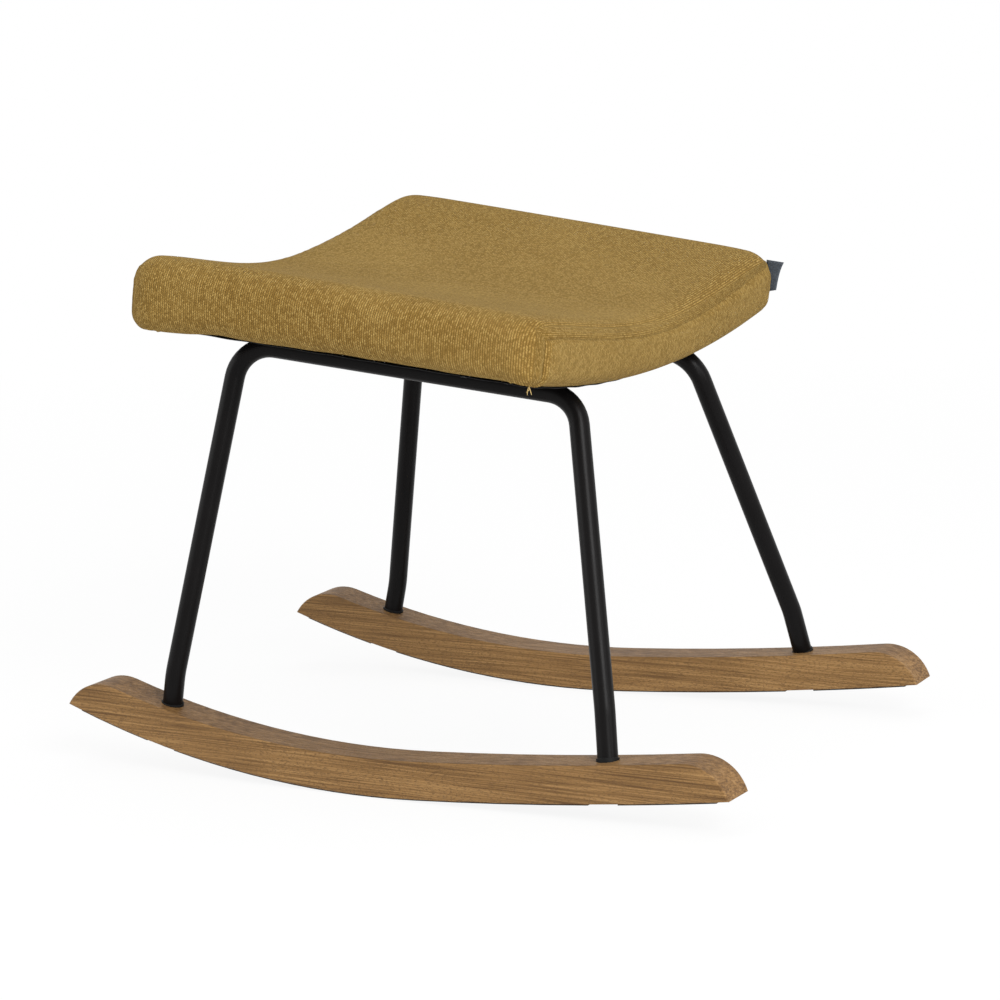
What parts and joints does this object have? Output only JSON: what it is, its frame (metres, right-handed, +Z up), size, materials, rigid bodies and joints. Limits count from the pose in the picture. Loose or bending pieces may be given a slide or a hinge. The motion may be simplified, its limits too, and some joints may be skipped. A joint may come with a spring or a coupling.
{
  "type": "rocking footstool",
  "caption": "Rocking footstool with a dished upholstered seat on black bent-tube legs that stand in curved solid-wood rockers.",
  "frame": {"origin": "on the floor, midway between the two rockers and midway along them", "axes": "+X along the rockers towards their long flat tails and the seat's low end, +Y across the stool, +Z up"},
  "size_m": [0.5814, 0.46, 0.4178],
  "materials": {
    "cover_fabric": "matte",
    "foam": "matte",
    "plywood": "satin",
    "rocker_wood": "satin",
    "black_steel": "satin",
    "zinc_steel": "satin",
    "black_plastic": "matte",
    "strip_felt": "matte",
    "lining_cloth": "matte",
    "tag_cloth": "matte"
  },
  "bodies": {
    "root": {"rocker_left": "rocker_wood", "rocker_right": "rocker_wood", "floor_strips_left": "strip_felt", "floor_strips_right": "strip_felt", "side_frame_left": "black_steel", "side_frame_right": "black_steel", "cross_tube_high": "black_steel", "cross_tube_low": "black_steel", "seat_tab_high_left": "black_steel", "seat_tab_high_right": "black_steel", "seat_tab_low_left": "black_steel", "seat_tab_low_right": "black_steel", "leg_collars": "black_plastic", "leg_plugs": "zinc_steel", "rocker_screws": "zinc_steel", "rocker_washers": "zinc_steel", "seat_bolts": "zinc_steel", "seat_bolt_washers": "zinc_steel", "t_nuts": "zinc_steel", "seat_shell": "plywood", "foam_pad": "foam", "cover_main": "cover_fabric", "cover_end_high": "cover_fabric", "cover_end_low": "cover_fabric", "underside_lining": "lining_cloth", "woven_tag": "tag_cloth"}
  },
  "joints": []
}
